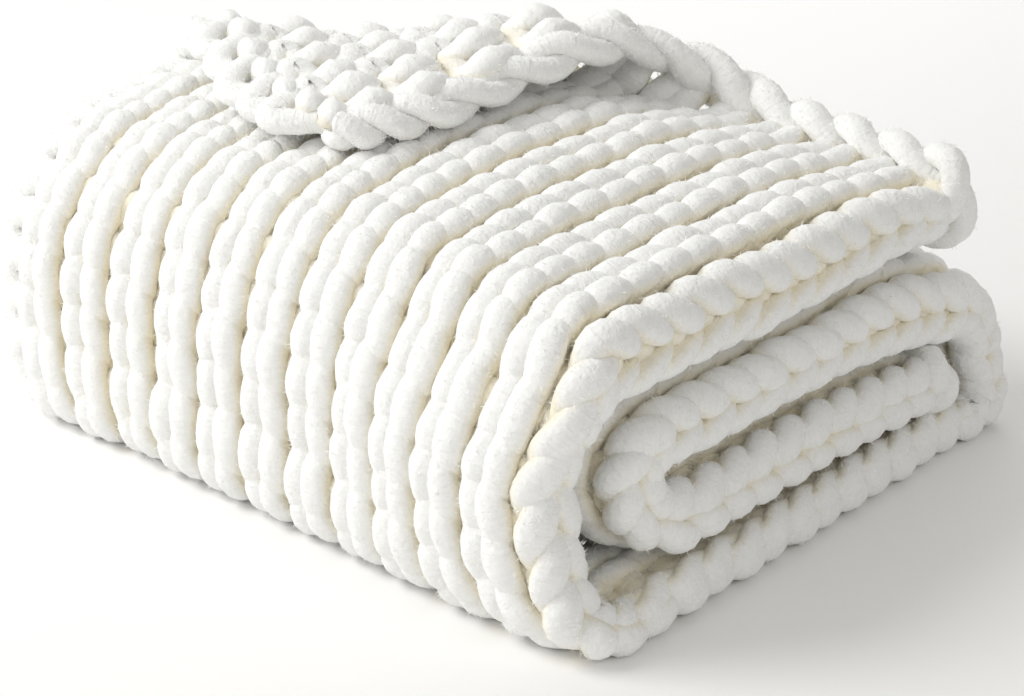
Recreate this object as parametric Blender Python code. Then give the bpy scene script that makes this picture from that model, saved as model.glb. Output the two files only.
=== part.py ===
"""A chunky knit blanket, folded in half across its width and then into four passes, with one corner
of the top layer turned back over the pile.

The whole blanket is one solid. A point of the cloth has a place across its ribs and a place along
them. fold_across and fold_along carry the flat cloth into the folded pile, turn_corner lays the
loose corner over the top, and settle gives the pile its soft, uneven outline. Metres, +Z up: X runs
across the ribs, Y along them, and the pile stands on Z = 0 with its middle over the origin.
"""

import math

import bpy
import numpy as np

# Driving dimensions
UNIT = 0.042                    # the pile is proportioned in these, each four fifths of a rib's width
RIBS = 23                       # ribs across the unfolded cloth: the middle one runs round the fold
LAYER = 0.70 * UNIT             # one layer of cloth, two strands of yarn thick
SLIT = 0.045 * UNIT             # space between the two layers of a pass, where they are apart
PASS_GAP = 0.05 * UNIT          # space between one pass and the next
RIB_DEPTH = 0.17 * UNIT         # how deep the cloth dips between two ribs

# The pile
LEFT_END = -7.45 * UNIT         # where the cloth's two long edges lie
RIGHT_AXIS = 6.10 * UNIT        # the line about which the cloth is folded in half
FRONT_FACE = -6.75 * UNIT
REAR_FACE = 6.55 * UNIT
TOP_START = 5.10 * UNIT         # where the top pass begins, at the right
THIRD_END = 4.60 * UNIT         # where the innermost pass ends
SKEW = 0.036                    # the top pass begins further back towards the left
LIFT = 0.28 * UNIT              # and its back edge stands off the pass below,
LIFT_REACH = 4.0 * UNIT         # over this much of its length
LIFT_SPAN = (-UNIT, 4 * UNIT)   # and from the first of these X to the second

# The corner that is turned back over the top
CORNER_FOLD = (-8.6 * UNIT, -2.40 * UNIT)
CORNER_TURN = math.radians(32.0)
CORNER_RADIUS = 0.43 * UNIT     # of the roll at its left end
CORNER_OPENING = 0.29 * UNIT    # and how much more at its right end
CORNER_SPAN = (4.7 * UNIT, 10.3 * UNIT)
CORNER_SETTLES = 2.6 * UNIT     # the turned-back cloth comes down on the ribs over this length
CORNER_STRETCH = 1.46           # loose knitting stretches where it hangs over
CORNER_BLUNT = 0.72 * UNIT      # how far the tip itself is rounded back
CORNER_BLUNT_REACH = 2.6 * UNIT
CORNER_REACH = 11.0 * UNIT      # only this much of the top pass can turn back
CORNER_CLEAR = 0.08 * UNIT      # the turned-back corner lies this far above the ribs under it

# The rims: distance in from the edge, and the cloth's thickness there as a share of the full one.
# The cast-on border, where the top pass begins, is fuller than the cloth.
RIM = ((0.0, 0.60), (0.25 * UNIT, 1.0))
BORDER = ((0.0, 0.62), (0.25 * UNIT, 1.10), (0.85 * UNIT, 1.10), (1.15 * UNIT, 1.0))

# But for the loose corner the two halves of the cloth are pressed into one. A groove runs between
# their side edges: its bottom lies this far in, past this many columns
GROOVE = 1.0 * UNIT
GROOVE_COLUMNS = 3

HALF = (LAYER + SLIT) / 2       # from the slit to the middle of a layer
THICK = LAYER + SLIT / 2        # from the slit to the outer face of a pass
PASS = 2 * THICK + PASS_GAP     # from one pass to the next
WIDE = RIGHT_AXIS - LEFT_END
AROUND = math.pi * HALF
CLOTH_WIDTH = 2 * WIDE + AROUND
RIB = CLOTH_WIDTH / RIBS
FRONT = FRONT_FACE + THICK
REAR = REAR_FACE - THICK
SHOULDER, TOE, HEEL, NOSE = 0.80 * UNIT, 0.88 * UNIT, 0.95 * UNIT, PASS / 2
TOP_TURNED = 8.2 * UNIT         # the stretch of the top pass that the turned-back corner leaves

# The passes in turn, seen from the right: each row is a straight run, then a quarter turn to the
# left, with the number of pieces that each of them is cut into.
# name, run, turn radius, pieces in the run, pieces in the turn
FOLDS = (
    ("top behind", TOP_TURNED, 0.0, 16, 0),
    ("top before", TOP_START - FRONT - SHOULDER - TOP_TURNED, SHOULDER, 2, 3),
    ("front", 3 * PASS - SHOULDER - TOE, TOE, 3, 3),
    ("bottom", REAR - FRONT - TOE - HEEL, HEEL, 6, 3),
    ("rear", 2 * PASS - 2 * HEEL, HEEL, 1, 3),
    ("second", REAR - HEEL - FRONT - PASS - NOSE, NOSE, 6, 3),
    ("nose", 0.0, NOSE, 0, 3),
    ("third", THIRD_END - FRONT - PASS - NOSE, 0.0, 6, 0),
)
QUARTER = math.pi / 2
TINY = 1e-9

# The soft outline. The lower corners at the front and rear are pushed outward to sit squarely: each
# row has the middle they are pushed from, in UNITs, the side and the amount.
# name, middle Y, middle Z, side, amount
SQUARED = (
    ("front", -4.4, 2.0, -1, 0.20),
    ("rear", 4.6, 2.2, 1, 0.14),
)
# Then each row moves the cloth along one axis by an amount, in UNITs, faded in by its ramps, each of
# which rises from 0 at its first place on an axis to 1 at its second.
# name, moved axis, amount, ramps
X, Y, Z = 0, 1, 2
SETTLED = (
    ("full top pass", Z, -0.62, ((X, -2.0, 5.5), (Y, 3.8, 0.6), (Z, 6.1, 4.5), (Z, 3.0, 4.5))),
    ("pressed bottom pass", Z, -0.62, ((X, -2.0, 5.5), (Z, 4.5, 3.0), (Z, 0.0, 1.5))),
    ("crowned left", Z, 0.62, ((X, 6.7, -0.5), (Z, 0.2, 5.4))),
    ("lower front of the crown", Z, -0.55, ((X, 6.7, -0.5), (Y, -1.0, -6.8), (Z, 2.0, 5.9))),
    ("drooping back", Z, -0.85, ((Y, 0.8, 5.4), (Z, 1.2, 4.3))),
    ("less droop at the right", Z, 0.10, ((X, 2.0, 6.9), (Y, 0.8, 5.4), (Z, 1.2, 4.3))),
    ("leaning front", Y, 0.90, ((X, 6.7, -0.5), (Y, -2.5, -6.6), (Z, 2.5, 6.2))),
    ("slanting front", Y, 0.45, ((X, 6.8, -7.5), (Y, 0.0, -6.4))),
    ("front belly", Y, -0.45, ((X, 0.0, 6.0), (Y, -3.4, -6.2), (Z, 0.3, 2.2), (Z, 5.4, 3.2))),
    ("tucked front corner", X, -0.50, ((X, 0.0, 6.8), (Y, -3.4, -6.2), (Z, 0.3, 2.2), (Z, 5.4, 3.2))),
    ("spreading foot", X, 0.60, ((X, 3.0, 6.8), (Z, 4.2, 0.3))),
    ("left belly", X, -0.35, ((X, -3.0, -7.4), (Y, -1.0, -5.0), (Z, 0.4, 2.2), (Z, 5.4, 3.6))),
    ("wider back", X, 0.22, ((X, 3.0, 6.8), (Y, 1.0, 6.0))),
    ("less spread behind", X, -0.25, ((X, 3.0, 6.8), (Y, 0.5, 5.0), (Z, 4.2, 0.3))),
    ("full border", Z, 0.35, ((X, -1.0, 2.5), (Y, 3.9, 4.7), (Z, 5.2, 5.9))),
    ("lower left crest", Z, -0.32, ((X, -1.0, -5.0), (Y, -2.0, 0.5), (Z, 4.5, 6.3))),
)


def ease(value, start, end):
    """0 before start, 1 after end, and a smooth rise between."""
    t = np.clip((value - start) / (end - start), 0.0, 1.0)
    return t * t * (3.0 - 2.0 * t)


def fold_along(along):
    """Place and heading of the slit, in Y and Z, at each distance along the cloth."""
    y = np.full_like(along, TOP_START)
    z = np.full_like(along, THICK + 3 * PASS)
    heading = np.full_like(along, math.pi)
    begin = 0.0
    facing = math.pi
    for _, run, radius, _, _ in FOLDS:
        step = np.clip(along - begin, 0.0, run)
        y += step * math.cos(facing)
        z += step * math.sin(facing)
        begin += run
        if radius:
            turned = np.clip((along - begin) / radius, 0.0, QUARTER)
            y += radius * (np.sin(facing + turned) - math.sin(facing))
            z -= radius * (np.cos(facing + turned) - math.cos(facing))
            heading += turned
            begin += radius * QUARTER
            facing += QUARTER
    return y, z, heading


def fold_across(across, lift):
    """X, and the distance out from the slit, of a point lifted off the middle of its layer."""
    turned = np.clip((across - WIDE) / HALF, 0.0, math.pi)
    x = np.minimum(LEFT_END + across, RIGHT_AXIS) - np.maximum(across - WIDE - AROUND, 0.0)
    return x + (HALF + lift) * np.sin(turned), (HALF + lift) * np.cos(turned)


def turn_corner(across, along, lift, x, y, z):
    """Rolls the back left corner of the top layer about a slanting line, and lays it down."""
    c, s = math.cos(CORNER_TURN), math.sin(CORNER_TURN)
    dx, dy = x - CORNER_FOLD[0], y - CORNER_FOLD[1]
    beyond = c * dy - s * dx
    loose = (along < CORNER_REACH) & (across < WIDE) & (beyond > 0)
    kept = c * dx + s * dy
    radius = CORNER_RADIUS + CORNER_OPENING * ease(kept, *CORNER_SPAN)
    rolled = np.clip(beyond / radius, 0.0, math.pi)
    over = np.maximum(beyond - math.pi * radius, 0.0)
    rest = 2 * radius - LAYER - CORNER_CLEAR
    back = (radius - lift) * np.sin(rolled) - over * CORNER_STRETCH
    up = radius - (radius - lift) * np.cos(rolled) - rest * ease(over, 0.0, CORNER_SETTLES)
    return (
        np.where(loose, CORNER_FOLD[0] + c * kept - s * back, x),
        np.where(loose, CORNER_FOLD[1] + s * kept + c * back, y),
        np.where(loose, z - lift + up, z),
    )


def settle(x, y, z):
    """The soft outline of the pile: square feet, a crowned top and a drooping back."""
    x, y, z = x / UNIT, y / UNIT, z / UNIT
    for _, middle_y, middle_z, side, amount in SQUARED:
        dy, dz = np.maximum((y - middle_y) * side, 0.0), np.maximum(middle_z - z, 0.0)
        grow = amount * (2 * dy * dz / (dy * dy + dz * dz + TINY)) ** 2
        y, z = y + side * dy * grow, z - dz * grow
    placed = (x, y, z)
    settled = [x, y, z]
    for _, axis, amount, ramps in SETTLED:
        share = math.prod([ease(placed[along], start, end) for along, start, end in ramps])
        settled[axis] = settled[axis] + amount * share
    return [value * UNIT for value in settled]


def place(across, along, lift):
    """Where points of the cloth lie in the folded pile, as an array of X, Y, Z."""
    across, along, lift = np.broadcast_arrays(across, along, lift)
    near_tip = np.maximum(1 - across / CORNER_BLUNT_REACH, 0) * np.maximum(1 - along / CORNER_BLUNT_REACH, 0)
    across, along = across + CORNER_BLUNT * near_tip, along + CORNER_BLUNT * near_tip
    y, z, heading = fold_along(along)
    x, out = fold_across(across, lift)
    y = y + out * np.sin(heading) + SKEW * (RIGHT_AXIS - x) * ease(along, CORNER_REACH, 0.0)
    z = z - out * np.cos(heading) + LIFT * ease(along, LIFT_REACH, 0.0) * ease(x, *LIFT_SPAN)
    return np.stack(settle(*turn_corner(across, along, lift, x, y, z)), axis=-1)


def columns():
    """Distances across the cloth, and how deep it dips at each: a crest or a dip every half rib."""
    rows = [(RIM[0][0], 0.5), (RIM[1][0], 0.3)]
    rows += [(half * RIB / 2, float(half % 2 == 0)) for half in range(1, RIBS)]
    at_fold = ((-0.25, 0.5), (0.0, 0.0), (0.25, 0.5), (0.5, 1.0))
    rows += [((RIBS / 2 + share) * RIB, dip) for share, dip in at_fold]
    rows += [(half * RIB / 2, 0.5) for half in range(RIBS + 2, 2 * RIBS)]
    rows += [(CLOTH_WIDTH - RIM[1][0], 0.5), (CLOTH_WIDTH - RIM[0][0], 0.5)]
    return np.array(rows)


def stations():
    """Distances along the cloth: each run and each turn cut into its pieces."""
    at = [0.0]
    for _, run, radius, run_pieces, turn_pieces in FOLDS:
        for length, pieces in ((run, run_pieces), (radius * QUARTER, turn_pieces)):
            at += [at[-1] + length * (i + 1) / pieces for i in range(pieces)]
    end = at[-1]
    inner = [a for a in at if BORDER[-1][0] + RIB / 3 < a < end - RIM[-1][0] - RIB / 3]
    return np.array([inset for inset, _ in BORDER] + inner + [end - inset for inset, _ in reversed(RIM)])


def thickness(across, along, long):
    """From the middle of the cloth to its outer face: rounded at its rims, fuller at its border."""
    side = np.minimum(across, CLOTH_WIDTH - across)
    ends = np.interp(along, *zip(*BORDER)) * np.interp(long - along, *zip(*RIM))
    return LAYER / 2 * np.interp(side, *zip(*RIM)) * ends


def sheet_faces(number):
    """The triangles of a grid, cut along the slant that the turned-back corner folds on."""
    faces = []
    for r in range(number.shape[0] - 1):
        for c in range(number.shape[1] - 1):
            faces.append((number[r, c], number[r + 1, c], number[r, c + 1]))
            faces.append((number[r + 1, c], number[r + 1, c + 1], number[r, c + 1]))
    return faces


def between_halves(row, first):
    """Fills a row of points that doubles back on itself, from its point number first to its turn."""
    last = len(row) - 1
    turn = last // 2
    faces = [(row[c], row[c + 1], row[last - c - 1], row[last - c]) for c in range(first, turn - 1)]
    return faces + [(row[turn - 1], row[turn], row[turn + 1])]


def side_faces(top, low, groove):
    """The two side edges: apart while there is an inner face, then with the groove between them."""
    last = top.shape[1] - 1
    faces = []
    for side, order in ((0, -1), (last, 1)):
        inner = [*low[:, side], *groove]
        for row in range(len(inner) - 1):
            faces.append((top[row, side], top[row + 1, side], inner[row + 1], inner[row])[::order])
    return faces + [(low[-1, last], groove[0], low[-1, 0])]


def end_faces(row, bottom):
    """The cast-off end: a point of the groove's bottom, and the row of points round the end."""
    last = len(row) - 1
    faces = between_halves(row, GROOVE_COLUMNS)
    faces.append((bottom, row[GROOVE_COLUMNS], row[last - GROOVE_COLUMNS]))
    for c in range(GROOVE_COLUMNS):
        faces += [(bottom, row[c], row[c + 1]), (bottom, row[last - c - 1], row[last - c])]
    return faces


def cloth_mesh():
    """One closed skin. Where the corner is loose the cloth has an inner face too, up to the row where
    its two halves come together. From there on they are one, with a groove between their side edges."""
    table, along = columns(), stations()
    across, dip = table[:, 0][None, :], table[:, 1][None, :]
    along = along[:, None]
    half = thickness(across, along, along[-1, 0])
    middle = place(across, along, np.zeros_like(half))
    ribbed = ease(middle[..., 2], 0.6 * LAYER, 2 * LAYER)
    open_rows = int(np.searchsorted(along[:, 0], TOP_TURNED - TINY)) + 1
    inner = np.minimum(half, LAYER / 2)[:open_rows]
    parts = (
        place(across, along, half - ribbed * dip * RIB_DEPTH),
        place(across, along[:open_rows], -inner),
        place(GROOVE, along[open_rows:], np.array([[-HALF]])),
    )
    points = np.concatenate([part.reshape(-1, 3) for part in parts])
    points[:, 2] = np.maximum(points[:, 2], 0.0)
    points[:, :2] -= (points[:, :2].min(0) + points[:, :2].max(0)) / 2
    number = np.arange(len(points))
    top = number[:half.size].reshape(half.shape)
    low = number[half.size:half.size + inner.size].reshape(inner.shape)
    groove = number[half.size + inner.size:]
    faces = sheet_faces(top) + [face[::-1] for face in sheet_faces(low)]
    faces += [(top[0, c], top[0, c + 1], low[0, c + 1], low[0, c]) for c in range(top.shape[1] - 1)]
    faces += side_faces(top, low, groove) + between_halves(low[-1], 0) + end_faces(top[-1, ::-1], groove[-1])
    return points, [tuple(int(i) for i in face) for face in faces]


def yarn_material():
    """Soft cream-white yarn."""
    material = bpy.data.materials.new("chenille_yarn")
    material.use_nodes = True
    shader = material.node_tree.nodes["Principled BSDF"]
    shader.inputs["Base Color"].default_value = (0.80, 0.78, 0.74, 1.0)
    shader.inputs["Roughness"].default_value = 0.95
    shader.inputs["Metallic"].default_value = 0.0
    return material


def blanket():
    points, faces = cloth_mesh()
    mesh = bpy.data.meshes.new("blanket")
    mesh.from_pydata(points.tolist(), [], faces)
    mesh.validate()
    mesh.materials.append(yarn_material())
    mesh.shade_smooth()
    piece = bpy.data.objects.new("blanket", mesh)
    bpy.context.scene.collection.objects.link(piece)
    return piece


for old in list(bpy.data.objects):
    bpy.data.objects.remove(old, do_unlink=True)
blanket()
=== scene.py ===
"""The looks of the folded chunky knit blanket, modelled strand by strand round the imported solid.

The cloth is stockinette in thick chenille yarn. A point of it has a place across the ribs and a
place along them. The same fold functions that shape the solid carry each strand into the pile.
"""

import math

import bpy
import numpy as np
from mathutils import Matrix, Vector


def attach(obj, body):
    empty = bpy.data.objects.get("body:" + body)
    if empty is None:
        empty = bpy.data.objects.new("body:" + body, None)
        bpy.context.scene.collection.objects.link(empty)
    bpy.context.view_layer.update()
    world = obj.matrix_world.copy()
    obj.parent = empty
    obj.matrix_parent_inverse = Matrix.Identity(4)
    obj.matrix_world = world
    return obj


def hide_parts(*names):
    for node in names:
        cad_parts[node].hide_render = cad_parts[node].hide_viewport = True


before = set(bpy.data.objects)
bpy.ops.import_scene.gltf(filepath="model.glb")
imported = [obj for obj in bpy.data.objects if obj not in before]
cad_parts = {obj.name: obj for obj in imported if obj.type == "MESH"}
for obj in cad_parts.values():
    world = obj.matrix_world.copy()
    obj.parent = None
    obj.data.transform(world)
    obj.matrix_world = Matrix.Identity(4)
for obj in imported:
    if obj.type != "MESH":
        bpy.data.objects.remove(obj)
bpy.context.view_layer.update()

# Driving dimensions of the folded cloth, as in the solid
UNIT = 0.042
RIBS = 23
LAYER = 0.70 * UNIT
SLIT = 0.045 * UNIT
PASS_GAP = 0.05 * UNIT
LEFT_END = -7.45 * UNIT
RIGHT_AXIS = 6.10 * UNIT
FRONT_FACE = -6.75 * UNIT
REAR_FACE = 6.55 * UNIT
TOP_START = 5.10 * UNIT
THIRD_END = 4.60 * UNIT
SKEW = 0.036
LIFT = 0.28 * UNIT
LIFT_REACH = 4.0 * UNIT
LIFT_SPAN = (-UNIT, 4 * UNIT)
CORNER_FOLD = (-8.6 * UNIT, -2.40 * UNIT)
CORNER_TURN = math.radians(32.0)
CORNER_RADIUS = 0.43 * UNIT
CORNER_OPENING = 0.29 * UNIT
CORNER_SPAN = (4.7 * UNIT, 10.3 * UNIT)
CORNER_SETTLES = 2.6 * UNIT
CORNER_STRETCH = 1.46
CORNER_BLUNT = 0.72 * UNIT
CORNER_BLUNT_REACH = 2.6 * UNIT
CORNER_BLUNT_MOST = 1.2
CORNER_REACH = 11.0 * UNIT
CORNER_CLEAR = 0.08 * UNIT
PILE_MIDDLE = (-0.00834, -0.01174)   # of the pile's footprint, from the point the folds start from

HALF = (LAYER + SLIT) / 2
THICK = LAYER + SLIT / 2
PASS = 2 * THICK + PASS_GAP
WIDE = RIGHT_AXIS - LEFT_END
AROUND = math.pi * HALF
CLOTH_WIDTH = 2 * WIDE + AROUND
RIB = CLOTH_WIDTH / RIBS
FRONT = FRONT_FACE + THICK
REAR = REAR_FACE - THICK
SHOULDER, TOE, HEEL, NOSE = 0.80 * UNIT, 0.88 * UNIT, 0.95 * UNIT, PASS / 2
QUARTER = math.pi / 2
TINY = 1e-9

# The passes in turn, seen from the right: each is a straight run, then a quarter turn to the left.
# name, run, turn radius
FOLDS = (
    ("top", TOP_START - FRONT - SHOULDER, SHOULDER),
    ("front", 3 * PASS - SHOULDER - TOE, TOE),
    ("bottom", REAR - FRONT - TOE - HEEL, HEEL),
    ("rear", 2 * PASS - 2 * HEEL, HEEL),
    ("second", REAR - HEEL - FRONT - PASS - NOSE, NOSE),
    ("nose", 0.0, NOSE),
    ("third", THIRD_END - FRONT - PASS - NOSE, 0.0),
)
CLOTH_LENGTH = sum(run + radius * QUARTER for _, run, radius in FOLDS)

# The soft outline, in UNITs: see settle
# name, middle Y, middle Z, side, amount
SQUARED = (
    ("front", -4.4, 2.0, -1, 0.20),
    ("rear", 4.6, 2.2, 1, 0.14),
)
# name, moved axis, amount, ramps
X, Y, Z = 0, 1, 2
SETTLED = (
    ("full top pass", Z, -0.62, ((X, -2.0, 5.5), (Y, 3.8, 0.6), (Z, 6.1, 4.5), (Z, 3.0, 4.5))),
    ("pressed bottom pass", Z, -0.62, ((X, -2.0, 5.5), (Z, 4.5, 3.0), (Z, 0.0, 1.5))),
    ("crowned left", Z, 0.62, ((X, 6.7, -0.5), (Z, 0.2, 5.4))),
    ("lower front of the crown", Z, -0.55, ((X, 6.7, -0.5), (Y, -1.0, -6.8), (Z, 2.0, 5.9))),
    ("drooping back", Z, -0.85, ((Y, 0.8, 5.4), (Z, 1.2, 4.3))),
    ("less droop at the right", Z, 0.10, ((X, 2.0, 6.9), (Y, 0.8, 5.4), (Z, 1.2, 4.3))),
    ("leaning front", Y, 0.90, ((X, 6.7, -0.5), (Y, -2.5, -6.6), (Z, 2.5, 6.2))),
    ("slanting front", Y, 0.45, ((X, 6.8, -7.5), (Y, 0.0, -6.4))),
    ("front belly", Y, -0.45, ((X, 0.0, 6.0), (Y, -3.4, -6.2), (Z, 0.3, 2.2), (Z, 5.4, 3.2))),
    ("tucked front corner", X, -0.50, ((X, 0.0, 6.8), (Y, -3.4, -6.2), (Z, 0.3, 2.2), (Z, 5.4, 3.2))),
    ("spreading foot", X, 0.60, ((X, 3.0, 6.8), (Z, 4.2, 0.3))),
    ("left belly", X, -0.35, ((X, -3.0, -7.4), (Y, -1.0, -5.0), (Z, 0.4, 2.2), (Z, 5.4, 3.6))),
    ("wider back", X, 0.22, ((X, 3.0, 6.8), (Y, 1.0, 6.0))),
    ("less spread behind", X, -0.25, ((X, 3.0, 6.8), (Y, 0.5, 5.0), (Z, 4.2, 0.3))),
    ("full border", Z, 0.35, ((X, -1.0, 2.5), (Y, 3.9, 4.7), (Z, 5.2, 5.9))),
    ("lower left crest", Z, -0.32, ((X, -1.0, -5.0), (Y, -2.0, 0.5), (Z, 4.5, 6.3))),
)

# The knitting
YARN = 0.285 * UNIT             # radius of the yarn where nothing squeezes it
SQUEEZE = 0.10                  # how much thinner it is where strands cross
FLAT = 0.78                     # the yarn's thickness through the cloth, as a share of its width
COURSE = 0.84 * UNIT            # from one row of stitches to the next, about
REACH = 0.92                    # half the height of a stitch, in courses
SWAY = 0.12                     # how far a stitch's legs swing across, in ribs,
FOLD_SWAY = 0.20                # and at the fold in half, where they open into a V
PULL = 0.060                    # how far each rib gathers towards its own middle, in ribs
DEPTH = 0.125 * UNIT            # the legs lie this far in front of the middle, the heads behind it
GROOVE = 0.14 * UNIT            # the strands lie lower between two ribs by this much
FIRST_COURSE = 0.95 * UNIT
LAST_COURSE = 0.60 * UNIT

# Yarn nearer to the middle of the cloth than the second of these gets a painted warm shade, and
# fully so at the first
PAINTED_WARM_SHADE_DEPTHS = (0.02 * UNIT, 0.26 * UNIT)

# The yarn is fuller where the knitting is loose or stretched: on the turned-back corner, whose
# fold meets the side edge and the border at these distances, and round the fold at the right
CORNER_ALONG, CORNER_ACROSS = 6.8 * UNIT, 10.9 * UNIT
CORNER_RIM = (1.05, 0.85)
CORNER_FULLER = 0.16
FOLD_FULLER = 0.07
FOLD_SPREAD = 1.2 * RIB

LUMPY = 0.02                    # how unevenly a strand's surface stands out, as a share of its radius
NUDGE = 0.02 * UNIT             # a short way out of the cloth, to find which way that is
TIP = 0.5                       # how far a strand's end is pointed, in radii
LOWEST = 0.0004                 # nothing is nearer to the floor

# The short fibres on the strands that show
FIBRE_SHARE = 0.85              # fibres for each point of a strand's rings
FIBRE_LENGTH = (0.0022, 0.0050)
FIBRE_WIDTH = 0.0007
FIBRE_LEAN = 0.9                # how far they lean out of the upright

# How finely a stitch is built: rings in a stitch, sides of the strand
HERO, MEDIUM, HIDDEN = (33, 12), (22, 10), (14, 7)
UNCOVERED = 15                  # ribs past this one show where the corner is turned back
COURSE_SAMPLES = 600            # points along the cloth at which the height of a course is worked out

# How unevenly the stitches are knitted: along, across and lift in UNITs, radius as a share
UNEVEN = {"along": 0.050, "across": 0.042, "lift": 0.030, "radius": 0.065}

RANDOM = np.random.default_rng(41)


def ease(value, start, end):
    """0 before start, 1 after end, and a smooth rise between."""
    t = np.clip((value - start) / (end - start), 0.0, 1.0)
    return t * t * (3.0 - 2.0 * t)


def fold_along(along):
    """Place and heading of the slit, in Y and Z, at each distance along the cloth."""
    y = TOP_START - np.minimum(along, 0.0)
    z = np.full_like(along, THICK + 3 * PASS)
    heading = np.full_like(along, math.pi)
    begin = 0.0
    facing = math.pi
    for _, run, radius in FOLDS:
        last = radius == 0.0 and run > 0.0
        step = np.clip(along - begin, 0.0, math.inf if last else run)
        y += step * math.cos(facing)
        z += step * math.sin(facing)
        begin += run
        if radius:
            turned = np.clip((along - begin) / radius, 0.0, QUARTER)
            y += radius * (np.sin(facing + turned) - math.sin(facing))
            z -= radius * (np.cos(facing + turned) - math.cos(facing))
            heading += turned
            begin += radius * QUARTER
            facing += QUARTER
    return y, z, heading


def fold_across(across, lift):
    """X, and the distance out from the slit, of a point lifted off the middle of its layer."""
    turned = np.clip((across - WIDE) / HALF, 0.0, math.pi)
    x = np.minimum(LEFT_END + across, RIGHT_AXIS) - np.maximum(across - WIDE - AROUND, 0.0)
    return x + (HALF + lift) * np.sin(turned), (HALF + lift) * np.cos(turned)


def turn_corner(across, along, lift, x, y, z):
    """Rolls the back left corner of the top layer about a slanting line, and lays it down."""
    c, s = math.cos(CORNER_TURN), math.sin(CORNER_TURN)
    dx, dy = x - CORNER_FOLD[0], y - CORNER_FOLD[1]
    beyond = c * dy - s * dx
    loose = (along < CORNER_REACH) & (across < WIDE) & (beyond > 0)
    kept = c * dx + s * dy
    radius = CORNER_RADIUS + CORNER_OPENING * ease(kept, *CORNER_SPAN)
    rolled = np.clip(beyond / radius, 0.0, math.pi)
    over = np.maximum(beyond - math.pi * radius, 0.0)
    rest = 2 * radius - LAYER - CORNER_CLEAR
    back = (radius - lift) * np.sin(rolled) - over * CORNER_STRETCH
    up = radius - (radius - lift) * np.cos(rolled) - rest * ease(over, 0.0, CORNER_SETTLES)
    return (
        np.where(loose, CORNER_FOLD[0] + c * kept - s * back, x),
        np.where(loose, CORNER_FOLD[1] + s * kept + c * back, y),
        np.where(loose, z - lift + up, z),
    )


def settle(x, y, z):
    """The soft outline of the pile: square feet, a crowned top and a drooping back."""
    x, y, z = x / UNIT, y / UNIT, z / UNIT
    for _, middle_y, middle_z, side, amount in SQUARED:
        dy, dz = np.maximum((y - middle_y) * side, 0.0), np.maximum(middle_z - z, 0.0)
        grow = amount * (2 * dy * dz / (dy * dy + dz * dz + TINY)) ** 2
        y, z = y + side * dy * grow, z - dz * grow
    placed = (x, y, z)
    settled = [x, y, z]
    for _, axis, amount, ramps in SETTLED:
        share = math.prod([ease(placed[along], start, end) for along, start, end in ramps])
        settled[axis] = settled[axis] + amount * share
    return [value * UNIT for value in settled]


def place(across, along, lift):
    """Where points of the cloth lie in the folded pile, as an array of X, Y, Z."""
    across, along, lift = np.broadcast_arrays(across, along, lift)
    near = [np.clip(1 - value / CORNER_BLUNT_REACH, 0, CORNER_BLUNT_MOST) for value in (across, along)]
    blunted = CORNER_BLUNT * near[0] * near[1]
    across, along = across + blunted, along + blunted
    y, z, heading = fold_along(along)
    x, out = fold_across(across, lift)
    y = y + out * np.sin(heading) + SKEW * (RIGHT_AXIS - x) * ease(along, CORNER_REACH, 0.0)
    z = z - out * np.cos(heading) + LIFT * ease(along, LIFT_REACH, 0.0) * ease(x, *LIFT_SPAN)
    points = np.stack(settle(*turn_corner(across, along, lift, x, y, z)), axis=-1)
    points[..., 0] -= PILE_MIDDLE[0]
    points[..., 1] -= PILE_MIDDLE[1]
    return points


def unit_rows(vectors):
    """Each row at length one."""
    return vectors / (np.linalg.norm(vectors, axis=-1, keepdims=True) + TINY)


def linked(name, mesh, material):
    """An object of the mesh, in the scene, smooth and with the material."""
    mesh.materials.append(material)
    mesh.shade_smooth()
    piece = bpy.data.objects.new(name, mesh)
    bpy.context.scene.collection.objects.link(piece)
    return piece


class Fibres:
    """Collects the short fibres that stand out of the strands, a triangle each."""

    def __init__(self, name):
        self.name = name
        self.roots, self.normals = [], []

    def grow(self, centre, points, share):
        """Roots fibres in a strand: share of a fibre for each point of its rings."""
        sides = points.shape[1]
        count = int(share * len(centre) * sides)
        ring = RANDOM.integers(0, len(centre) - 1, count)
        side = RANDOM.integers(0, sides, count)
        t, s = RANDOM.random((2, count, 1))
        corner = points[ring, side]
        onward = points[ring + 1, side] - corner
        around = points[ring, (side + 1) % sides] - corner
        root = corner + t * onward + s * around
        self.roots.append(root)
        self.normals.append(unit_rows(root - centre[ring] - t * (centre[ring + 1] - centre[ring])))

    def build(self, material):
        """Makes the piece."""
        roots, normals = np.concatenate(self.roots), np.concatenate(self.normals)
        count = len(roots)
        heading = unit_rows(normals + FIBRE_LEAN * unit_rows(RANDOM.standard_normal((count, 3))))
        tips = roots + heading * RANDOM.uniform(*FIBRE_LENGTH, (count, 1))
        half = unit_rows(np.cross(heading, RANDOM.standard_normal((count, 3)))) * FIBRE_WIDTH / 2
        points = np.stack([roots - half, roots + half, tips], axis=1).reshape(-1, 3)
        points[:, 2] = np.maximum(points[:, 2], LOWEST)
        mesh = bpy.data.meshes.new(self.name)
        mesh.from_pydata(points, [], np.arange(3 * count).reshape(-1, 3))
        return linked(self.name, mesh, material)


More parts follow.
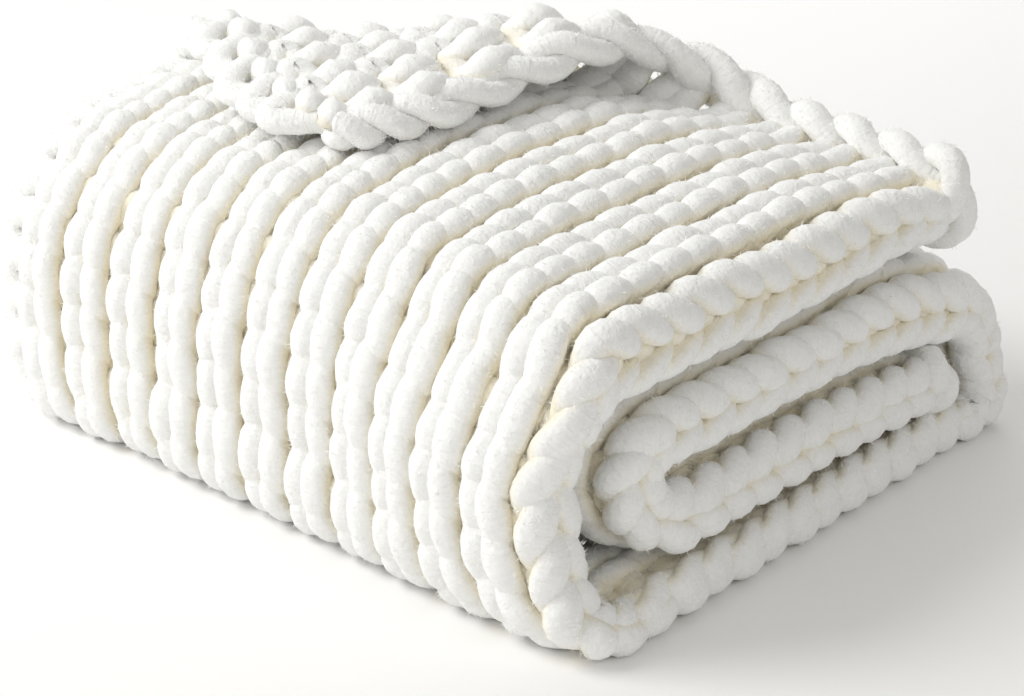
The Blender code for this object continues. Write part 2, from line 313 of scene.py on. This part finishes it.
class Skin:
    """Collects tubes of yarn into one mesh."""

    def __init__(self, name):
        self.name = name
        self.points, self.faces, self.uvs, self.depths = [], [], [], []
        self.count = 0

    def tube(self, across, along, lift, radius, sides, painted_shade=True, fibres=None):
        """A strand through points of the cloth; its section is a little flatter through the cloth."""
        centre = place(across, along, lift)
        out = unit_rows(place(across, along, lift + NUDGE) - centre)
        tangent = unit_rows(np.vstack([centre[1:], centre[-1:]]) - np.vstack([centre[:1], centre[:-1]]))
        side = unit_rows(np.cross(tangent, out))
        out = np.cross(side, tangent)
        angle = np.linspace(0, 2 * math.pi, sides, endpoint=False)
        sideways = np.cos(angle)[None, :, None] * side[:, None]
        ring = sideways + FLAT * np.sin(angle)[None, :, None] * out[:, None]
        bumpy = 1 + LUMPY * RANDOM.standard_normal((len(centre), sides, 1))
        points = centre[:, None] + radius[:, None, None] * ring * bumpy
        if fibres:
            fibres.grow(centre, points, FIBRE_SHARE)
        rings = len(centre)
        lengths = np.linalg.norm(np.diff(centre, axis=0), axis=1)
        run = np.concatenate([[0.0], np.cumsum(lengths)]) + RANDOM.uniform(0, 10)
        number = self.count + np.arange(rings * sides).reshape(rings, sides)
        a, b = number[:-1], number[1:]
        quads = np.stack([a, np.roll(a, -1, 1), np.roll(b, -1, 1), b], axis=-1)
        self.faces.append(quads.reshape(-1, 4))
        u, v = np.meshgrid(np.arange(sides + 1) / sides, run)
        uv = np.stack([u, v], axis=-1)
        corners = [uv[:-1, :-1], uv[:-1, 1:], uv[1:, 1:], uv[1:, :-1]]
        self.uvs.append(np.stack(corners, axis=2).reshape(-1, 2))
        self.points.append(points.reshape(-1, 3))
        # The painted warm shade follows how near the yarn lies to the middle of the cloth; loops and
        # cords at the edges get none
        depth = lift[:, None] + radius[:, None] * FLAT * np.sin(angle)[None, :] if painted_shade else HALF
        self.depths.append(np.broadcast_to(depth, (rings, sides)).ravel())
        self.count += rings * sides
        for end, order in ((0, -1), (rings - 1, 1)):
            self.points.append((centre[end] + tangent[end] * radius[end] * TIP * order)[None])
            self.depths.append(np.array([HALF]))
            rim = number[end][::order]
            self.faces.append(np.stack([rim, np.roll(rim, -1), np.full(sides, self.count)], axis=-1))
            self.uvs.append(np.tile([[0.5, run[end]]], (3 * sides, 1)))
            self.count += 1

    def build(self, material):
        """Makes the piece, with the distance round and along its strands as UV."""
        points = np.concatenate(self.points)
        points[:, 2] = np.maximum(points[:, 2], LOWEST)
        mesh = bpy.data.meshes.new(self.name)
        loops = np.concatenate([f.reshape(-1) for f in self.faces])
        sizes = np.concatenate([np.full(len(f), f.shape[1]) for f in self.faces])
        mesh.vertices.add(len(points))
        mesh.vertices.foreach_set("co", points.astype(np.float32).ravel())
        mesh.loops.add(len(loops))
        mesh.loops.foreach_set("vertex_index", loops.astype(np.int32))
        mesh.polygons.add(len(sizes))
        starts = np.concatenate([[0], np.cumsum(sizes)[:-1]])
        mesh.polygons.foreach_set("loop_start", starts.astype(np.int32))
        mesh.update(calc_edges=True)
        layer = mesh.uv_layers.new(name="yarn")
        layer.data.foreach_set("uv", np.concatenate(self.uvs).astype(np.float32).ravel())
        # How much painted warm shade each point gets, from its depth in the cloth
        painted_shade = 1 - ease(np.abs(np.concatenate(self.depths)), *PAINTED_WARM_SHADE_DEPTHS)
        tint = mesh.attributes.new("painted_shade", "FLOAT", "POINT")
        tint.data.foreach_set("value", painted_shade.astype(np.float32))
        mesh.validate()
        return linked(self.name, mesh, material)


def stitch(turn, sway):
    """One stitch as the angle goes from 0 to a full turn: from the sinker behind, up a leg in front,
    over the head behind, and down the other leg. Across in ribs from its middle, along in courses,
    and how far in front, from -1 to 1."""
    across = turn / (2 * math.pi) - 0.5 + sway * np.sin(2 * turn)
    across = across - PULL * np.sin(2 * math.pi * across)
    front = -np.cos(2 * turn)
    return across, -REACH * np.cos(turn), front * (1.5 - 0.5 * front * front)


def on_corner(across, along):
    """1 on the turned-back corner, 0 on the rest of the cloth."""
    return ease(along / CORNER_ALONG + across / CORNER_ACROSS, *CORNER_RIM)


def fullness(across, along):
    """How much fuller the yarn is than elsewhere, at places on the cloth."""
    at_fold = np.exp(-(((across - CLOTH_WIDTH / 2) / FOLD_SPREAD) ** 2))
    return (1 + CORNER_FULLER * on_corner(across, along)) * (1 + FOLD_FULLER * at_fold)


def knit_course(centre, course_height, first, last, rings, uneven):
    """The centre line of one course from rib first up to rib last."""
    ring = np.arange((last - first) * rings + 1)
    rib = np.minimum(ring // rings, last - first - 1)
    within = 2 * math.pi * (ring / rings - rib)
    u, v, front = stitch(within, np.where(first + rib == RIBS // 2, FOLD_SWAY, SWAY))
    leg = 2 * (first + ring / rings) - 0.5
    shift = {key: np.interp(leg, np.arange(2 * RIBS), values) for key, values in uneven.items()}
    across = (first + rib + 0.5 + u) * RIB + shift["across"] * UNIT
    along = centre + v * course_height + shift["along"] * UNIT
    groove = GROOVE * (2 * u) ** 2
    lift = DEPTH * front - groove + shift["lift"] * UNIT
    radius = YARN * (1 + SQUEEZE * np.cos(4 * within)) * (1 + shift["radius"])
    return across, along, lift, radius * fullness(across, along)


def course_table():
    """Distance along the cloth of the middle of each course, and the height of each course."""
    ends = np.cumsum([run + radius * QUARTER for _, run, radius in FOLDS])
    along = np.linspace(FIRST_COURSE, CLOTH_LENGTH - LAST_COURSE, COURSE_SAMPLES)
    pitch = np.full_like(along, COURSE)
    for end, (_, _, radius) in zip(ends[:-1], FOLDS):
        middle = end - radius * QUARTER / 2
        turning = ease(np.abs(along - middle), radius * QUARTER, 0.0)
        pitch = pitch * (1 - turning * THICK / (radius + THICK))
    number = np.concatenate([[0.0], np.cumsum(np.diff(along) / pitch[1:])])
    edges = np.interp(np.linspace(0, number[-1], round(number[-1]) + 1), number, along)
    return (edges[1:] + edges[:-1]) / 2, np.diff(edges)


def detail(pass_name, rib):
    """How finely a stitch is built: most finely where it shows."""
    if abs(rib - RIBS // 2) <= 1:
        return HERO
    outer = rib < RIBS / 2
    if pass_name in ("top", "front") and outer:
        return HERO
    if rib <= 1 or rib >= RIBS - 2:
        return MEDIUM
    if pass_name == "rear" and outer or pass_name == "top" and rib > UNCOVERED:
        return MEDIUM
    return HIDDEN


def knit(material, fibres):
    """Every course of the cloth, in one piece for each pass of the pile."""
    ends = np.cumsum([run + radius * QUARTER for _, run, radius in FOLDS])
    names = [name for name, _, _ in FOLDS]
    skins = {}
    for centre, height in zip(*course_table()):
        name = names[int(np.searchsorted(ends, centre))]
        skin = skins.setdefault(name, Skin(f"knit_{name}"))
        uneven = {key: RANDOM.uniform(-share, share, 2 * RIBS) for key, share in UNEVEN.items()}
        levels = [detail(name, rib) for rib in range(RIBS)]
        first = 0
        for rib in range(1, RIBS + 1):
            if rib == RIBS or levels[rib] != levels[first]:
                rings, sides = levels[first]
                strand = knit_course(centre, height, first, rib, rings, uneven)
                skin.tube(*strand, sides, fibres=fibres if levels[first] == HERO else None)
                first = rib
    return [skin.build(material) for skin in skins.values()]


# Under each column of legs runs a rope, as the fibres of one stitch run into the next one's
CORE_LIFT = 0.07 * UNIT
CORE_YARN = 0.245 * UNIT
CORE_STEP = 0.2 * UNIT
CORE_SIDES = 12


def cores(material):
    """The ropes under the columns of legs that show on the top and front, but for the fold's own."""
    skin = Skin("knit_cores")
    shown = sum(run + radius * QUARTER for _, run, radius in FOLDS[:2])
    along = np.arange(FIRST_COURSE, shown, CORE_STEP)
    for rib in range(RIBS // 2):
        for side in (-1, 1):
            across = np.full_like(along, (rib + 0.5 + side * (0.25 - PULL)) * RIB)
            radius = CORE_YARN * fullness(across, along)
            skin.tube(across, along, np.full_like(along, CORE_LIFT), radius, CORE_SIDES)
    return skin.build(material)


# The borders
EDGE_OUT = 0.28 * UNIT          # the loops at the side edges stand out by this much,
CORNER_EDGE_OUT = 0.34 * UNIT   # and by this much more on the turned-back corner
EDGE_YARN = 0.28 * UNIT
LOOP_ROOT = 0.38 * UNIT         # and start this far inside the edge
LOOP_RINGS, LOOP_SIDES = 26, 12
LOOP_UNEVEN = (0.85, 1.15)
LOOP_ROUND = 0.8                # the loops are a little squarer than a sine
LOOP_BACK = 0.30                # a loop starts this far before its course's middle, in courses,
LOOP_SHORT = 0.05               # and ends this far before the next one's
LOOP_SLACK = 0.15               # it is cut off this share of its rise before it levels out
LOOP_FRONT, LOOP_DROP = 0.55, 1.3   # it starts in front of the middle and drops, in DEPTHs
LOOP_FULLER, LOOP_FULLER_CORNER = 0.05, 0.06
CORD_PITCH = 0.96 * UNIT        # the cast-on and cast-off edges are cords of two strands: the lumps
CORD_AT = 0.36 * UNIT           # repeat at this pitch, and the cord lies this far in from the edge
CORD_END = 0.05 * RIB
CORD_WIND = 0.20 * UNIT         # the strands wind round the cord's middle at this distance
CORD_YARN = 0.31 * UNIT
CORD_LIFT = 0.04 * UNIT
CORD_RINGS, CORD_SIDES = 16, 14     # rings in a lump
CORD_UNEVEN = (0.93, 1.07)
CORD_SWELL = 0.08


def edge_loops(material, fibres):
    """At the two side edges, a loose loop of yarn from each course to the next."""
    skin = Skin("edge_loops")
    courses, heights = course_table()
    q = np.linspace(0, 1, LOOP_RINGS)
    for side, edge in ((1, 0.0), (-1, CLOTH_WIDTH)):
        for a, b, height in zip(courses[:-1], courses[1:], heights):
            loose = on_corner(edge, a) if side > 0 else 0.0
            out = (EDGE_OUT + CORNER_EDGE_OUT * loose) * RANDOM.uniform(*LOOP_UNEVEN)
            bulge = np.sin(math.pi * q)
            across = edge + side * (LOOP_ROOT - (out + LOOP_ROOT) * bulge**LOOP_ROUND)
            rise = b - a + (LOOP_BACK - LOOP_SHORT) * height
            along = a - LOOP_BACK * height + rise * ease(q, -LOOP_SLACK, 1 + LOOP_SLACK)
            lift = DEPTH * (LOOP_FRONT - LOOP_DROP * q)
            radius = EDGE_YARN * (1 + LOOP_FULLER * bulge) * (1 + LOOP_FULLER_CORNER * loose)
            shown = fibres if side > 0 else None
            skin.tube(across, along, lift, radius, LOOP_SIDES, painted_shade=False, fibres=shown)
    return skin.build(material)


def border_cord(material, name, along_at, fibres):
    """The cast-on or cast-off edge: two strands laid round each other in fat slanting lumps."""
    skin = Skin(name)
    lumps = round(CLOTH_WIDTH / CORD_PITCH)
    pitch = CLOTH_WIDTH / lumps
    across = np.linspace(CORD_END, CLOTH_WIDTH - CORD_END, lumps * CORD_RINGS)
    sizes = RANDOM.uniform(*CORD_UNEVEN, (3, lumps + 1))
    for strand in (0, 1):
        turn = math.pi * (across / pitch + strand)
        size, wind, drift = (np.interp(across / pitch, np.arange(lumps + 1), row) for row in sizes)
        along = along_at + (drift - 1) * UNIT + CORD_WIND * wind * np.sin(turn)
        lift = CORD_LIFT + CORD_WIND * wind * np.cos(turn)
        radius = CORD_YARN * size * (1 + CORD_SWELL * np.cos(turn))
        skin.tube(across, along, lift, radius, CORD_SIDES, painted_shade=False, fibres=fibres)
    return skin.build(material)


# The middle of the cloth: left out on the turned-back corner, where open loops let light through
GROUND_LIFT = -0.10 * UNIT
GROUND_INSET = 0.5 * UNIT
GROUND_COLUMNS, GROUND_ROWS = 79, 150


def ground(material):
    """The cloth's middle surface, in a painted warm shade: it shows only as the dim ground between
    strands.
    """
    across = np.linspace(GROUND_INSET, CLOTH_WIDTH - GROUND_INSET, GROUND_COLUMNS)
    along = np.linspace(GROUND_INSET, CLOTH_LENGTH - GROUND_INSET, GROUND_ROWS)
    grid = place(across[None, :], along[:, None], GROUND_LIFT)
    faces = []
    for row in range(GROUND_ROWS - 1):
        for column in range(GROUND_COLUMNS - 1):
            if on_corner(across[column], along[row]) > 0:
                continue
            n = row * GROUND_COLUMNS + column
            faces.append((n, n + GROUND_COLUMNS, n + GROUND_COLUMNS + 1, n + 1))
    mesh = bpy.data.meshes.new("knit_ground")
    mesh.from_pydata(grid.reshape(-1, 3).tolist(), [], faces)
    return linked("knit_ground", mesh, material)


# The yarn's surface: its grain and larger clumps, each so many to a metre, and rings round the
# strand, so many round it and to a metre along it
FLUFF_SCALE, CLUMP_SCALE = 560.0, 160.0
RING_STRETCH = (2.5, 420.0, 1.0)

# strength of the relief, its height in metres
RING_RELIEF = (0.5, 0.0018)
CLUMP_RELIEF = (0.5, 0.0030)
FLUFF_RELIEF = (0.4, 0.0012)

# Colours: each end of a ramp has its position and its colour
WHITE = (1.0, 1.0, 1.0)
# Painted shade and highlight: each of these three tones follows the noise that also gives the relief,
# darker in its low places and whiter on its high ones
PAINTED_FLUFF_SHADE = ((0.30, (0.95, 0.95, 0.935)), (0.60, (0.992, 0.992, 0.98)))
PAINTED_RING_SHADE = ((0.36, (0.975, 0.975, 0.97)), (0.60, WHITE))
PAINTED_CLUMP_SHADE = ((0.30, (0.97, 0.97, 0.96)), (0.70, WHITE))
# Painted warm shade for yarn lying deep in the cloth
PAINTED_WARM_SHADE_COLOURS = ((0.0, WHITE), (1.0, (0.97, 0.91, 0.76)))
FIBRE_COLOUR = (0.985, 0.98, 0.96, 1.0)
# The middle surface's colour is a painted warm shade, standing in for the shade deep between the
# strands
GROUND_SHADE_COLOUR = (0.93, 0.86, 0.70, 1.0)
FLOOR_COLOUR = (0.97, 0.965, 0.955, 1.0)
FLOOR_REACH = 12.0


def noise(nodes, links, vector, scale, detail, stretch=None):
    """A noise texture's value, its coordinates stretched first if asked."""
    texture = nodes.new("ShaderNodeTexNoise")
    texture.inputs["Scale"].default_value = scale
    texture.inputs["Detail"].default_value = detail
    if stretch:
        mapping = nodes.new("ShaderNodeMapping")
        mapping.inputs["Scale"].default_value = stretch
        links.new(vector, mapping.inputs["Vector"])
        vector = mapping.outputs["Vector"]
    links.new(vector, texture.inputs["Vector"])
    return texture.outputs["Fac"]


def bump(nodes, links, height, strength, distance, normal=None):
    """The normal of a relief of this height, laid over another one if given."""
    node = nodes.new("ShaderNodeBump")
    node.inputs["Strength"].default_value = strength
    node.inputs["Distance"].default_value = distance
    links.new(height, node.inputs["Height"])
    if normal:
        links.new(normal, node.inputs["Normal"])
    return node.outputs["Normal"]


def ramp(nodes, links, value, low, high):
    """A colour for each value: each end is its position and its colour."""
    node = nodes.new("ShaderNodeValToRGB")
    for element, (position, colour) in zip(node.color_ramp.elements, (low, high)):
        element.position = position
        element.color = (*colour, 1.0)
    links.new(value, node.inputs["Fac"])
    return node.outputs["Color"]


def multiplied(nodes, links, first, second):
    """One colour times another."""
    node = nodes.new("ShaderNodeMix")
    node.data_type = "RGBA"
    node.blend_type = "MULTIPLY"
    node.inputs["Factor"].default_value = 1.0
    links.new(first, node.inputs["A"])
    links.new(second, node.inputs["B"])
    return node.outputs["Result"]


def matt(name, colour=None, roughness=1.0):
    """A new material of one colour, without gloss, and its shader."""
    material = bpy.data.materials.new(name)
    material.use_nodes = True
    shader = material.node_tree.nodes["Principled BSDF"]
    shader.inputs["Roughness"].default_value = roughness
    if colour:
        shader.inputs["Base Color"].default_value = colour
    return material, shader


def chenille_material():
    """Soft white chenille: short fibres in fine rings round the strand, with painted highlight on the
    high places of the relief and painted shade in its low ones, and a painted warm shade where the yarn
    lies deep in the cloth."""
    material, shader = matt("chenille")
    nodes, links = material.node_tree.nodes, material.node_tree.links
    shader.inputs["Specular IOR Level"].default_value = 0.1
    shader.inputs["Sheen Weight"].default_value = 0.30
    shader.inputs["Sheen Roughness"].default_value = 0.45
    place_node = nodes.new("ShaderNodeTexCoord")
    fluff = noise(nodes, links, place_node.outputs["Object"], FLUFF_SCALE, 2.0)
    clumps = noise(nodes, links, place_node.outputs["Object"], CLUMP_SCALE, 2.0)
    rings = noise(nodes, links, place_node.outputs["UV"], 1.0, 2.0, RING_STRETCH)
    normal = bump(nodes, links, rings, *RING_RELIEF)
    normal = bump(nodes, links, clumps, *CLUMP_RELIEF, normal)
    normal = bump(nodes, links, fluff, *FLUFF_RELIEF, normal)
    links.new(normal, shader.inputs["Normal"])
    # The painted warm shade, read from the mesh
    painted_shade = nodes.new("ShaderNodeAttribute")
    painted_shade.attribute_name = "painted_shade"
    # The colour follows the relief's noises, as painted shade in its low places and painted highlight
    # on its high ones
    colour = ramp(nodes, links, fluff, *PAINTED_FLUFF_SHADE)
    tints = ((rings, PAINTED_RING_SHADE), (clumps, PAINTED_CLUMP_SHADE), (painted_shade.outputs["Fac"], PAINTED_WARM_SHADE_COLOURS))
    for value, ends in tints:
        colour = multiplied(nodes, links, colour, ramp(nodes, links, value, *ends))
    links.new(colour, shader.inputs["Base Color"])
    return material


def fibre_material():
    """The fibres' own white, soft."""
    material, shader = matt("chenille_pile", FIBRE_COLOUR)
    shader.inputs["Specular IOR Level"].default_value = 0.1
    shader.inputs["Sheen Weight"].default_value = 0.30
    return material


def floor():
    """A plain pale floor, level with the blanket's underside."""
    mesh = bpy.data.meshes.new("floor")
    corners = [(x * FLOOR_REACH, y * FLOOR_REACH, 0) for x, y in ((-1, -1), (1, -1), (1, 1), (-1, 1))]
    mesh.from_pydata(corners, [], [(0, 1, 2, 3)])
    linked("floor", mesh, matt("floor_white", FLOOR_COLOUR, 0.8)[0])


# The camera, fitted to the photograph's view of the folded blanket
CAMERA_AT = (1.19371, -1.38383, 0.8449)
CAMERA_PITCH = math.radians(67.0)
CAMERA_TURN = math.radians(40.6)
FOCAL_PIXELS = 2417.0
IMAGE_WIDTH = 1024.0
SENSOR_WIDTH = 36.0


def camera():
    """A camera where the photograph was taken from."""
    data = bpy.data.cameras.new("camera")
    data.sensor_width = SENSOR_WIDTH
    data.lens = FOCAL_PIXELS / IMAGE_WIDTH * SENSOR_WIDTH
    data.clip_end = 100.0
    piece = bpy.data.objects.new("camera", data)
    piece.location = CAMERA_AT
    piece.rotation_euler = (CAMERA_PITCH, 0.0, CAMERA_TURN)
    bpy.context.scene.collection.objects.link(piece)
    bpy.context.scene.camera = piece


# name, place, the point it faces, size, power, colour
LIGHTS = (
    ("key", (-2.0, -1.8, 2.6), (0.0, 0.0, 0.1), 1.9, 80.0, (1.0, 1.0, 0.995)),
    ("left", (-3.0, 0.2, 1.3), (0.0, 0.0, 0.1), 2.0, 10.0, (1.0, 1.0, 0.995)),
    ("front", (-0.6, -3.2, 1.6), (0.0, 0.0, 0.1), 2.2, 19.0, (1.0, 1.0, 0.995)),
    ("top", (-0.4, 1.2, 3.0), (0.0, 0.0, 0.1), 2.6, 8.0, (1.0, 1.0, 0.995)),
    ("right", (2.8, -0.4, 1.6), (0.0, 0.0, 0.1), 2.2, 13.5, (1.0, 0.985, 0.955)),
    ("behind", (-0.8, 1.9, 1.5), (-0.8, 1.7, 0.0), 1.4, 10.0, (1.0, 1.0, 0.995)),
)
WORLD_COLOUR = (1.0, 0.99, 0.975, 1.0)
WORLD_STRENGTH = 0.33


def lights():
    """Soft studio lights and a pale surround."""
    for name, at, facing, size, power, colour in LIGHTS:
        data = bpy.data.lights.new(name, "AREA")
        data.shape = "DISK"
        data.size = size
        data.energy = power
        data.color = colour
        piece = bpy.data.objects.new(name, data)
        piece.location = at
        piece.rotation_euler = (Vector(facing) - Vector(at)).to_track_quat("-Z", "Y").to_euler()
        bpy.context.scene.collection.objects.link(piece)
    world = bpy.data.worlds.new("studio")
    world.use_nodes = True
    background = world.node_tree.nodes["Background"]
    background.inputs["Color"].default_value = WORLD_COLOUR
    background.inputs["Strength"].default_value = WORLD_STRENGTH
    bpy.context.scene.world = world
    bpy.context.scene.view_settings.view_transform = "Standard"


camera()
lights()
floor()
chenille = chenille_material()
fibres = Fibres("yarn_pile")
yarn_pieces = knit(chenille, fibres)
yarn_pieces.append(cores(chenille))
yarn_pieces.append(edge_loops(chenille, fibres))
yarn_pieces.append(border_cord(chenille, "cast_on_cord", CORD_AT, fibres))
yarn_pieces.append(border_cord(chenille, "cast_off_cord", CLOTH_LENGTH - CORD_AT, fibres))
yarn_pieces.append(fibres.build(fibre_material()))
# The middle surface carries a painted warm shade
middle = ground(matt("ground_shade_tint", GROUND_SHADE_COLOUR)[0])
for piece in [*yarn_pieces, middle]:
    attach(piece, "root")
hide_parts("blanket")
